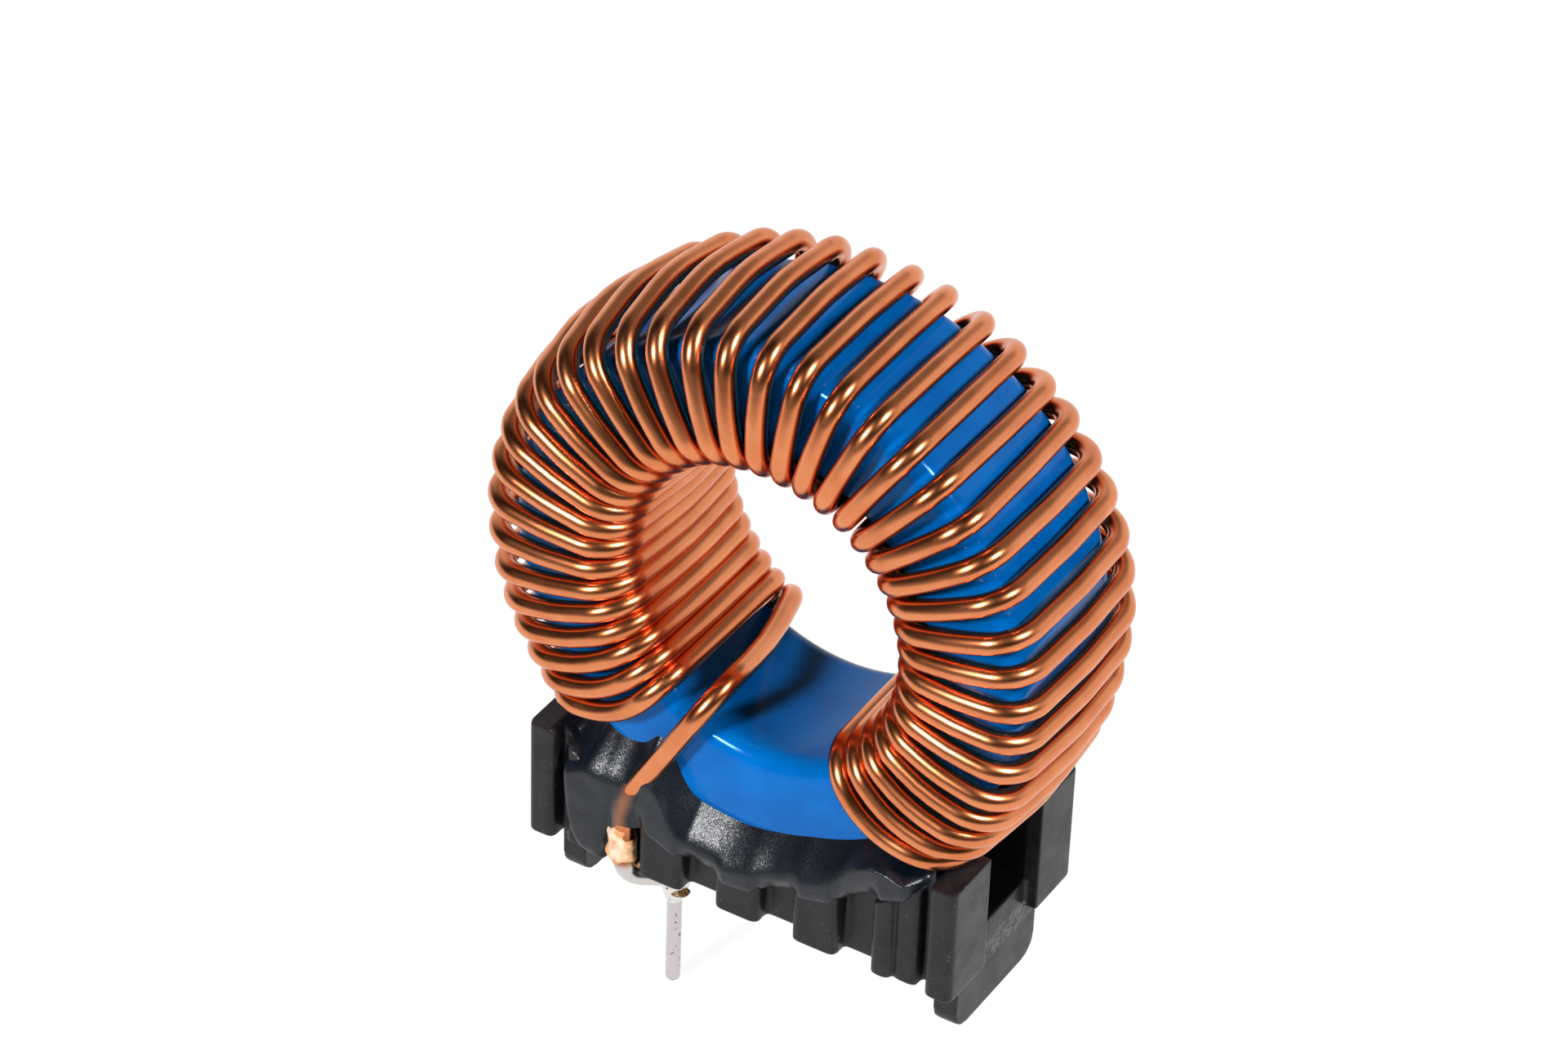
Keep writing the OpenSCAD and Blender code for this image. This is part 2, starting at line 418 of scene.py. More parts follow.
def set_ramp(socket: Socket, stops: Sequence[tuple[float, str]]) -> Socket:
    """Sets the colours of a colour ramp and returns its output.

    Args:
        socket: The ramp's output.
        stops: Place and hex colour of each stop, in order.

    Returns:
        The same output.
    """
    elements = socket.node.color_ramp.elements
    while len(elements) < len(stops):
        elements.new(1.0)
    for element, (place, code) in zip(elements, stops):
        element.position = place
        element.color = srgb(code)
    return socket


def seen(tree: Tree) -> Socket:
    """Adds nodes that give 1 to rays from the camera, a reflection or a clear piece.

    Args:
        tree: The node tree.

    Returns:
        The share of such rays, 0 or 1.
    """
    rays = [add_node(tree, "LightPath", output=name)
            for name in ("Is Camera Ray", "Is Glossy Ray", "Is Transmission Ray")]
    first = add_node(tree, "Math", {"operation": "MAXIMUM"}, {0: rays[0], 1: rays[1]})
    return add_node(tree, "Math", {"operation": "MAXIMUM"}, {0: first, 1: rays[2]})


class Finish:
    """Surface of a piece, which turns its shader into a material."""

    name: str

    def shader(self, tree: Tree, place: Socket) -> Socket:
        """Adds the finish's own nodes.

        Args:
            tree: The node tree.
            place: Object coordinates.

        Returns:
            The shader's output.
        """
        raise NotImplementedError

    def make(self) -> Material:
        """Builds the material and returns it."""
        material = bpy.data.materials.new(self.name)
        material.use_nodes = True
        tree = material.node_tree
        tree.nodes.clear()
        place = add_node(tree, "TexCoord", output="Object")
        add_node(tree, "OutputMaterial", inputs={"Surface": self.shader(tree, place)})
        return material


@dataclass(frozen=True)
class EnamelledCopper(Finish):
    """Drawn copper wire under clear enamel: warm metal with soft streaks along the wire and a thin clear gloss.

    Below the header's rail the enamel is burnt off and the copper is tinned, and just above it is scorched.
    """

    name: str = "Enamelled copper wire"
    copper: str = "#e18a5a"
    deep: str = "#d37a4b"
    scorched: str = "#a5633c"
    tin: str = "#cdc8c4"
    roughness: float = 0.25
    streaks: Point3 = (900.0, 9.0, 1.0)
    patch: float = 2.4
    uneven: float = 0.03
    tin_top: float = 4.5
    tin_edge: float = 0.3
    burn_top: float = 7.6
    burn_edge: float = 1.2

    def shader(self, tree: Tree, place: Socket) -> Socket:
        """Adds the nodes of the wire, as Finish.shader says."""
        route = add_node(tree, "TexCoord", output="UV")
        # Die marks about 2 mm long and a ninth of the wire's girth wide, coarser than real ones so that they show
        stretched = add_node(tree, "Mapping", inputs={"Vector": route, "Scale": self.streaks})
        streaks = add_node(tree, "TexNoise", inputs={"Vector": stretched, "Scale": 1.0, "Detail": 3.0})
        patches = add_node(tree, "TexNoise", inputs={
            "Vector": place, "Scale": per_mm(self.patch), "Detail": 2.0})
        tint = set_ramp(add_node(tree, "ValToRGB", inputs={"Fac": patches}),
                        [(0.3, self.deep), (0.62, self.copper)])
        height = add_node(tree, "SeparateXYZ", inputs={"Vector": place}, output="Z")
        burnt = add_node(tree, "MapRange", SOFT, {
            "Value": height, "From Min": self.burn_top * MM, "From Max": (self.burn_top - self.burn_edge) * MM})
        tinned = add_node(tree, "MapRange", SOFT, {
            "Value": height, "From Min": (self.tin_top + self.tin_edge) * MM,
            "From Max": (self.tin_top - self.tin_edge) * MM})
        scorch = add_node(tree, "Mix", TINTS, {
            0: burnt, 6: tint, 7: srgb(self.scorched)}, output=2)
        colour = add_node(tree, "Mix", TINTS, {
            0: tinned, 6: scorch, 7: srgb(self.tin)}, output=2)
        gloss = add_node(tree, "MapRange", inputs={
            "Value": streaks, "From Min": 0.3, "From Max": 0.7,
            "To Min": self.roughness - self.uneven, "To Max": self.roughness + self.uneven})
        return add_node(tree, "BsdfPrincipled", inputs={
            "Base Color": colour, "Metallic": 1.0, "Roughness": gloss,
            "Coat Weight": 0.12, "Coat Roughness": 0.2})


@dataclass(frozen=True)
class EpoxyCoat(Finish):
    """Sprayed and baked epoxy on a powder core: deep glossy blue with a faint orange peel and thin dull smears."""

    name: str = "Blue epoxy coat"
    blue: str = "#005ca6"
    shade: str = "#00529a"
    sheen: str = "#7cb0ff"
    roughness: float = 0.1
    smear: float = 0.09
    cloud: float = 3.0
    peel: float = 1.1
    peel_h: float = 0.05

    def shader(self, tree: Tree, place: Socket) -> Socket:
        """Adds the nodes of the coat, as Finish.shader says."""
        clouds = add_node(tree, "TexNoise", inputs={"Vector": place, "Scale": per_mm(self.cloud), "Detail": 3.0})
        tint = set_ramp(add_node(tree, "ValToRGB", inputs={"Fac": clouds}),
                        [(0.35, self.shade), (0.6, self.blue)])
        peel = add_node(tree, "TexNoise", inputs={
            "Vector": place, "Scale": per_mm(self.peel), "Detail": 1.0})
        relief = add_node(tree, "Bump", inputs={
            "Height": peel, "Strength": 0.12, "Distance": self.peel_h * MM})
        gloss = add_node(tree, "MapRange", inputs={
            "Value": clouds, "From Min": 0.3, "From Max": 0.75,
            "To Min": self.roughness, "To Max": self.roughness + self.smear})
        return add_node(tree, "BsdfPrincipled", inputs={
            "Base Color": tint, "Roughness": gloss, "Specular IOR Level": 0.3,
            "Specular Tint": srgb(self.sheen), "Normal": relief})


@dataclass(frozen=True)
class MouldedPhenolic(Finish):
    """Glass-filled black moulding: satin, a little brown, with a fine grain, specks of dust and a torn gate mark. The
    channel between the rails has painted shade: it is near black and reflects less.
    """

    name: str = "Black moulded header plastic"
    black: str = "#151316"
    brown: str = "#1f1c1f"
    # Painted shade: near-black colour for the channel between the rails, where shade falls
    painted_channel_shade: str = "#060606"
    dust: str = "#6e6a68"
    torn_dark: str = "#050505"
    torn_light: str = "#4c4b4e"
    roughness: float = 0.36
    uneven: Point = (0.08, 0.1)
    cloud: float = 1.6
    grain: float = 0.12
    crumb: float = 0.22
    speck: float = 0.16
    relief_h: float = 0.03
    channel_w: float = 5.8
    floor_z: float = 6.1
    end_x: float = 13.05
    over_z: float = 30.0
    shade_soft_edge: float = 0.15
    wall: float = 0.1
    scar_low: Point3 = (13.0, -2.4, 3.0)
    scar_high: Point3 = (13.3, 3.9, 4.7)
    scar_edge: float = 0.12

    def inside(self, tree: Tree, place: Socket, low: Sequence[float],
               high: Sequence[float], edge: float) -> Socket:
        """Adds nodes that give 1 inside a box and 0 outside it.

        Args:
            tree: The node tree.
            place: Object coordinates.
            low: Lowest corner of the box in millimetres.
            high: Highest corner of the box in millimetres.
            edge: Width of the box's soft edge in millimetres.

        Returns:
            The share of the box at each point.
        """
        share = None
        for axis, a, b in zip("XYZ", low, high):
            along_axis = add_node(tree, "SeparateXYZ", inputs={"Vector": place}, output=axis)
            offset = add_node(tree, "Math", {"operation": "SUBTRACT"}, {
                0: along_axis, 1: (a + b) / 2 * MM})
            off = add_node(tree, "Math", {"operation": "ABSOLUTE"}, {0: offset})
            one = add_node(tree, "MapRange", SOFT, {
                "Value": off, "From Min": (b - a) / 2 * MM, "From Max": ((b - a) / 2 - edge) * MM})
            share = one if share is None else add_node(tree, "Math", {"operation": "MULTIPLY"}, {
                0: share, 1: one})
        return share

    def shader(self, tree: Tree, place: Socket) -> Socket:
        """Adds the nodes of the plastic, as Finish.shader says."""
        clouds = add_node(tree, "TexNoise", inputs={"Vector": place, "Scale": per_mm(self.cloud), "Detail": 4.0})
        tint = set_ramp(add_node(tree, "ValToRGB", inputs={"Fac": clouds}),
                        [(0.38, self.black), (0.68, self.brown)])
        grain = add_node(tree, "TexNoise", inputs={
            "Vector": place, "Scale": per_mm(self.grain), "Detail": 3.0})
        # Painted shade: a soft box mask over the channel between the rails and down to its floor, where shade falls
        half = self.channel_w / 2 + self.wall
        deep = self.inside(tree, place, (-self.end_x, -half, self.floor_z - self.shade_soft_edge),
                           (self.end_x, half, self.over_z), self.shade_soft_edge)
        scar = self.inside(tree, place, self.scar_low, self.scar_high, self.scar_edge)
        crumbs = add_node(tree, "TexNoise", inputs={"Vector": place, "Scale": per_mm(self.crumb), "Detail": 2.0})
        torn = set_ramp(add_node(tree, "ValToRGB", inputs={"Fac": crumbs}),
                        [(0.42, self.torn_dark), (0.6, self.torn_light)])
        specks = add_node(tree, "TexNoise", inputs={"Vector": place, "Scale": per_mm(self.speck), "Detail": 1.0})
        dust = add_node(tree, "MapRange", inputs={
            "Value": specks, "From Min": 0.7, "From Max": 0.78, "To Max": 0.5})
        dusty = add_node(tree, "Mix", TINTS, {
            0: dust, 6: tint, 7: srgb(self.dust)}, output=2)
        worn = add_node(tree, "Mix", TINTS, {0: scar, 6: dusty, 7: torn}, output=2)
        # The channel is painted near black as shade; the gate mark and dust are real wear
        colour = add_node(tree, "Mix", TINTS, {
            0: deep, 6: worn, 7: srgb(self.painted_channel_shade)}, output=2)
        depth = add_node(tree, "MapRange", inputs={"Value": scar, "To Min": 0.25, "To Max": 1.0})
        height = add_node(tree, "Mix", NUMBERS, {0: scar, 2: grain, 3: crumbs})
        relief = add_node(tree, "Bump", inputs={
            "Height": height, "Strength": depth, "Distance": self.relief_h * MM})
        gloss = add_node(tree, "MapRange", inputs={
            "Value": clouds, "From Min": 0.3, "From Max": 0.7,
            "To Min": self.roughness - self.uneven[0], "To Max": self.roughness + self.uneven[1]})
        # Painted shade: reflections in the channel are dimmed, as well as its colour
        channel_dimmed_shine = add_node(tree, "MapRange", inputs={"Value": deep, "To Min": 0.25, "To Max": 0.1})
        return add_node(tree, "BsdfPrincipled", inputs={
            "Base Color": colour, "Roughness": gloss, "IOR": 1.5, "Specular IOR Level": channel_dimmed_shine, "Normal": relief})


@dataclass(frozen=True)
class BlackEpoxyGlue(Finish):
    """Filled black epoxy, poured and cured: glossy blue-black whose filler grains sparkle in a highlight."""

    name: str = "Filled black epoxy adhesive"
    black: str = "#080c13"
    blue: str = "#0d131c"
    ghost: str = "#8a5230"
    roughness: float = 0.3
    cloud: float = 1.8
    filler: float = 0.04
    sparkle: float = 0.2
    lead_x: float = -7.62
    bend_z: float = 8.2
    lean: float = 0.28
    ghost_r: float = 0.65
    ghost_share: float = 0.65
    ghost_y: float = -6.9

    def near_lead(self, tree: Tree, place: Socket) -> Socket:
        """Adds nodes for the front lead, which shows through the thin film over it.

        Args:
            tree: The node tree.
            place: Object coordinates.

        Returns:
            The share of the lead's colour at each point.
        """
        x, y, z = [add_node(tree, "SeparateXYZ", inputs={"Vector": place}, output=axis) for axis in "XYZ"]
        rise = add_node(tree, "Math", {"operation": "SUBTRACT"}, {0: z, 1: self.bend_z * MM})
        bent = add_node(tree, "Math", {"operation": "MAXIMUM"}, {0: rise, 1: 0.0})
        line = add_node(tree, "Math", {"operation": "MULTIPLY_ADD"}, {
            0: bent, 1: self.lean, 2: self.lead_x * MM})
        aside = add_node(tree, "Math", {"operation": "SUBTRACT"}, {0: x, 1: line})
        off = add_node(tree, "Math", {"operation": "ABSOLUTE"}, {0: aside})
        close = add_node(tree, "MapRange", SOFT, {
            "Value": off, "From Min": self.ghost_r * MM, "From Max": 0.0, "To Max": self.ghost_share})
        front = add_node(tree, "Math", {"operation": "LESS_THAN"}, {0: y, 1: self.ghost_y * MM})
        return add_node(tree, "Math", {"operation": "MULTIPLY"}, {0: close, 1: front})

    def shader(self, tree: Tree, place: Socket) -> Socket:
        """Adds the nodes of the adhesive, as Finish.shader says."""
        clouds = add_node(tree, "TexNoise", inputs={"Vector": place, "Scale": per_mm(self.cloud), "Detail": 2.0})
        tint = set_ramp(add_node(tree, "ValToRGB", inputs={"Fac": clouds}),
                        [(0.35, self.black), (0.65, self.blue)])
        grains = add_node(tree, "TexVoronoi", inputs={
            "Vector": place, "Scale": per_mm(self.filler)}, output="Color")
        centred = add_node(tree, "VectorMath", {"operation": "SUBTRACT"}, {0: grains, 1: (0.5, 0.5, 0.5)})
        tilt = add_node(tree, "VectorMath", {"operation": "SCALE"}, {0: centred, "Scale": self.sparkle})
        normal = add_node(tree, "NewGeometry", output="Normal")
        facet = add_node(tree, "VectorMath", {"operation": "ADD"}, {0: normal, 1: tilt})
        relief = add_node(tree, "VectorMath", {"operation": "NORMALIZE"}, {0: facet})
        colour = add_node(tree, "Mix", TINTS, {
            0: self.near_lead(tree, place), 6: tint, 7: srgb(self.ghost)}, output=2)
        return add_node(tree, "BsdfPrincipled", inputs={
            "Base Color": colour, "Roughness": self.roughness, "Specular IOR Level": 0.4, "Normal": relief})


@dataclass(frozen=True)
class TinnedMetal(Finish):
    """Hot-dipped tin on wire or a solder joint: pale grey metal with soft runs and a few dark specks."""

    name: str
    tin: str = "#c9c4c3"
    speck: str = "#5d5650"
    roughness: float = 0.24
    speck_size: float = 0.35
    run: float = 0.8
    run_h: float = 0.08

    def shader(self, tree: Tree, place: Socket) -> Socket:
        """Adds the nodes of the tin, as Finish.shader says."""
        specks = add_node(tree, "TexNoise", inputs={
            "Vector": place, "Scale": per_mm(self.speck_size), "Detail": 2.0})
        tint = set_ramp(add_node(tree, "ValToRGB", inputs={"Fac": specks}),
                        [(0.64, self.tin), (0.74, self.speck)])
        runs = add_node(tree, "TexNoise", inputs={"Vector": place, "Scale": per_mm(self.run), "Detail": 2.0})
        relief = add_node(tree, "Bump", inputs={
            "Height": runs, "Strength": 0.4, "Distance": self.run_h * MM})
        return add_node(tree, "BsdfPrincipled", inputs={
            "Base Color": tint, "Metallic": 1.0, "Roughness": self.roughness, "Normal": relief})


@dataclass(frozen=True)
class Crust(Finish):
    """Burnt residue: a matt, mottled crust."""

    name: str
    light: str
    dark: str
    grain: float = 0.5
    grain_h: float = 0.08
    roughness: float = 0.6

    def shader(self, tree: Tree, place: Socket) -> Socket:
        """Adds the nodes of the crust, as Finish.shader says."""
        mottle = add_node(tree, "TexNoise", inputs={
            "Vector": place, "Scale": per_mm(self.grain), "Detail": 4.0})
        tint = set_ramp(add_node(tree, "ValToRGB", inputs={"Fac": mottle}),
                        [(0.36, self.dark), (0.6, self.light)])
        relief = add_node(tree, "Bump", inputs={
            "Height": mottle, "Strength": 0.6, "Distance": self.grain_h * MM})
        return add_node(tree, "BsdfPrincipled", inputs={
            "Base Color": tint, "Roughness": self.roughness, "Normal": relief})


@dataclass(frozen=True)
class PaleFloor(Finish):
    """Studio card: white to the camera with a faint shadow, and dark in front of the part in reflections."""

    name: str = "Pale floor"
    card: str = "#f4f4f4"
    white: str = "#ffffff"
    near_y: Point = (-115.0, -50.0)
    glow: Point = (0.06, 1.08)
    glow_share: float = 0.88

    def shader(self, tree: Tree, place: Socket) -> Socket:
        """Adds the nodes of the floor, as Finish.shader says."""
        depth = add_node(tree, "SeparateXYZ", inputs={"Vector": place}, output="Y")
        near = add_node(tree, "MapRange", SOFT, {
            "Value": depth, "From Min": self.near_y[0] * MM, "From Max": self.near_y[1] * MM,
            "To Min": self.glow[0], "To Max": self.glow[1]})
        camera = add_node(tree, "LightPath", output="Is Camera Ray")
        level = add_node(tree, "Mix", NUMBERS, {0: camera, 2: near, 3: self.glow[1]})
        card = add_node(tree, "BsdfDiffuse", inputs={"Color": srgb(self.card)})
        glow = add_node(tree, "Emission", inputs={"Color": srgb(self.white), "Strength": level})
        share = add_node(tree, "Math", {"operation": "MULTIPLY"}, {0: seen(tree), 1: self.glow_share})
        return add_node(tree, "MixShader", inputs={0: share, 1: card, 2: glow})


# The part


@dataclass
class Ring:
    """Place and section of the coated core, which the other pieces are set round."""

    outer_r: float = 16.1
    inner_r: float = 10.1
    height: float = 10.8
    edge_r: float = 1.2
    centre_z: float = 25.0
    steps: int = 192
    edge_steps: int = 8

    def on(self, radius: float, y: float, angle: float) -> Vector:
        """Point at an angle round the ring, in degrees from its top towards +X."""
        turn = math.radians(angle)
        return Vector((radius * math.sin(turn), y, self.centre_z + radius * math.cos(turn)))

    def face_z(self, radius: float, x: float) -> float:
        """Height of the lower point at a radius and an x."""
        return self.centre_z - math.sqrt(max(0.0, radius * radius - x * x))

    def build(self) -> Thing:
        """Spins the rounded section into the core and returns it."""
        core = added("toroid_core", bpy.ops.mesh.primitive_plane_add, (self.outer_r - self.inner_r, self.height, 1),
                     size=1, location=((self.outer_r + self.inner_r) / 2, 0, self.centre_z))
        edit_all(core)
        bpy.ops.mesh.bevel(affect="VERTICES", offset=self.edge_r, segments=self.edge_steps, profile=0.5)
        bpy.ops.mesh.delete(type="ONLY_FACE")
        bpy.ops.mesh.select_all(action="SELECT")
        bpy.ops.mesh.spin(steps=self.steps, angle=math.tau, center=(0, 0, self.centre_z), axis=(0, 1, 0))
        leave_edit()
        return cleaned(core)


@dataclass
class Winding:
    """Hand-wound turns of enamelled wire with a lead at the front and one at the rear.

    The turns bow between the core's edges, are slack at the left and at the right end, and are pushed up by the header.
    """

    ring: Ring
    wire_d: float = 1.26
    gap: float = 0.05
    edge_bow: float = 0.15
    edge_slack: float = 0.1
    outer_bow: float = 0.44
    crown_bend: float = 12.0
    face_gap: float = 0.15
    face_crown: float = 0.38
    bore_bow: float = 0.25
    right_push: float = 11.0
    left_push: float = 13.0
    push_reach: float = 45.0
    push_power: float = 1.5
    end_sag: float = 0.8
    slack: float = 0.95
    slack_angle: float = -62.0
    slack_rise: float = 75.0
    slack_fall: float = 58.0
    end_slack: float = 0.85
    end_angle: float = 134.0
    end_reach: float = 34.0
    end_share: float = 0.7
    bore_slack: float = 0.45
    bore_crown: float = 0.5
    bore_crown_bend: float = 26.0
    least_slack: float = 0.05
    bore_lift: float = 0.3
    bore_angle: float = -105.0
    bore_reach: float = 80.0
    outer_bend: float = 4.2
    bore_bend: float = 2.75
    turns: int = 37
    pitch: float = 8.0
    first: float = 145.0
    lead_step: float = 7.6
    lead_cross: Point = (7.65, -160.0)
    lead_top: Point = (6.4, -163.5)
    lead_bend: float = 5.0
    lead_x: float = 7.62
    lead_y: float = 6.5
    lead_z: float = 8.9
    tail_z: float = 3.55
    tail_bend: float = 1.0
    tail_to: Point = (5.7, 5.43)
    sway: float = 0.4
    seed: int = 11
    bend_step: float = 6.0
    trim_share: float = 0.49
    bevel_steps: int = 8

    def outer_angle(self, angle: float) -> float:
        """Angle of a turn's outer run, which the header pushes up at both ends of the winding."""
        share = max(0.0, 1 - (self.first - abs(angle)) / self.push_reach) ** self.push_power
        return angle - self.right_push * share if angle > 0 else angle + self.left_push * share

    def looseness(self, angle: float, middle: float, reach: float) -> float:
        """Share of a slack at an angle, which fades to nothing at its reach from the middle."""
        return max(0.0, math.cos(math.radians(90 * min(1.0, abs(angle - middle) / reach))))

    def clear_bend(self, bow: float, face: float) -> float:
        """Bend radius over the core's edge, limited to the largest that clears it.

        Args:
            bow: Distance between the wire and the core's round side.
            face: Distance between the wire and the core's flat face.

        Returns:
            The radius of the wire's middle line.
        """
        off = self.ring.edge_r + self.gap + self.wire_d / 2
        return min(self.outer_bend, off + bow + face + math.sqrt(2 * bow * face))

    def corners(self) -> list[tuple[Vector, float]]:
        """Corners of the wire's route.

        Returns:
            Each corner's place and bend radius, from the rear tail to the front tail.
        """
        draw = random.Random(self.seed)
        off = self.gap + self.wire_d / 2
        in_r = self.ring.inner_r - off
        run_y, bend = self.ring.height / 2 + off + self.face_gap, self.bore_bend
        crown_y = run_y + self.face_crown
        angles = [self.first - i * self.pitch for i in range(self.turns)]
        bores = [*angles, angles[-1] - self.lead_step]
        lead = Vector((self.lead_x, self.lead_y, self.lead_z))
        foot = Vector((self.lead_x, self.lead_y, self.tail_z))
        tail = Vector((*self.tail_to, self.tail_z))
        half_turn = Matrix.Rotation(math.pi, 3, "Z")
        route = [(tail, 0.0), (foot, self.tail_bend), (lead, bend),
                 (self.ring.on(in_r - self.bore_bow, self.lead_y, self.first), bend)]
        for i, angle in enumerate(angles):
            lean = [draw.uniform(-self.sway, self.sway) for _ in range(4)]
            outer = self.outer_angle(angle)
            side = self.slack_rise if outer > self.slack_angle else self.slack_fall
            loose = self.looseness(outer, self.slack_angle, side)
            end_loose = self.looseness(outer, self.end_angle, self.end_reach)
            edge_bow = self.edge_bow + self.edge_slack * loose + self.end_slack * end_loose * self.end_share
            edge_r, edge_bend = self.ring.outer_r + off + edge_bow, self.clear_bend(edge_bow, self.face_gap)
            crown_r = self.ring.outer_r + off + self.outer_bow + self.slack * loose + self.end_slack * end_loose
            mid_r = (in_r + edge_r) / 2
            wide = self.looseness(angle, self.bore_angle, self.bore_reach)
            far = self.bore_bow + self.bore_slack * wide
            lift = self.bore_lift * wide
            bore_bend = self.clear_bend(far, self.face_gap + lift)
            near_angle, far_angle = angle + lean[0] / 2, bores[i + 1] + lean[3] / 2
            middles = [(a + b) / 2 + self.end_sag * (a - b) / 2
                       for a, b in ((near_angle, outer + lean[1]), (far_angle, outer + lean[2]))]
            bulge_r = in_r - far - self.bore_crown * wide
            if wide > self.least_slack:
                route.append((self.ring.on(bulge_r, 0, near_angle), self.bore_crown_bend))
            route += [(self.ring.on(in_r - far, -run_y - lift, near_angle), bore_bend),
                      (self.ring.on(mid_r, -crown_y, middles[0]), self.crown_bend),
                      (self.ring.on(edge_r, -run_y, outer + lean[1]), edge_bend),
                      (self.ring.on(crown_r, 0, outer + (lean[1] + lean[2]) / 2), self.crown_bend),
                      (self.ring.on(edge_r, run_y, outer + lean[2]), edge_bend),
                      (self.ring.on(mid_r, crown_y, middles[1]), self.crown_bend),
                      (self.ring.on(in_r - far, run_y + lift, far_angle), bore_bend)]
        (cross_r, cross_angle), (top_r, top_angle) = self.lead_cross, self.lead_top
        route += [(self.ring.on(cross_r, 0, cross_angle), self.bore_crown_bend),
                  (self.ring.on(top_r, -self.lead_y, top_angle), self.outer_bend), (half_turn @ lead, self.lead_bend),
                  (half_turn @ foot, self.tail_bend), (half_turn @ tail, 0.0)]
        return route

    def path(self) -> list[Vector]:
        """Points of the wire's middle line, with each corner rounded to its bend radius."""
        route = self.corners()
        points = [route[0][0]]
        for (before, _), (corner, radius), (after, _) in zip(route, route[1:], route[2:]):
            arrive, leave = (corner - before).normalized(), (after - corner).normalized()
            turn = arrive.angle(leave)
            room = self.trim_share * min((corner - before).length, (after - corner).length)
            trim = min(radius * math.tan(turn / 2), room)
            inward = (leave - arrive).normalized()
            bend = trim / math.tan(turn / 2)
            centre = corner + inward * (bend / math.cos(turn / 2))
            start, axis = corner - arrive * trim - centre, arrive.cross(leave).normalized()
            steps = max(2, math.ceil(math.degrees(turn) / self.bend_step))
            points += [centre + Matrix.Rotation(turn * k / steps, 3, axis) @ start for k in range(steps + 1)]
        return [*points, route[-1][0]]

    def build(self) -> Thing:
        """Sweeps the round wire along its path and returns it as a mesh."""
        line = bpy.data.curves.new("winding", "CURVE")
        line.dimensions = "3D"
        line.bevel_depth = self.wire_d / 2
        line.bevel_resolution = self.bevel_steps
        line.use_fill_caps = True
        spline = line.splines.new("POLY")
        path = self.path()
        spline.points.add(len(path) - 1)
        for point, place in zip(spline.points, path):
            point.co = (*place, 1.0)
        wire = bpy.data.objects.new("winding", line)
        bpy.context.scene.collection.objects.link(wire)
        only(wire)
        bpy.ops.object.convert(target="MESH")
        wire = bpy.context.object
        LOG.info("wire: %d rings, maps %s", len(path), [m.name for m in wire.data.uv_layers])
        return wire


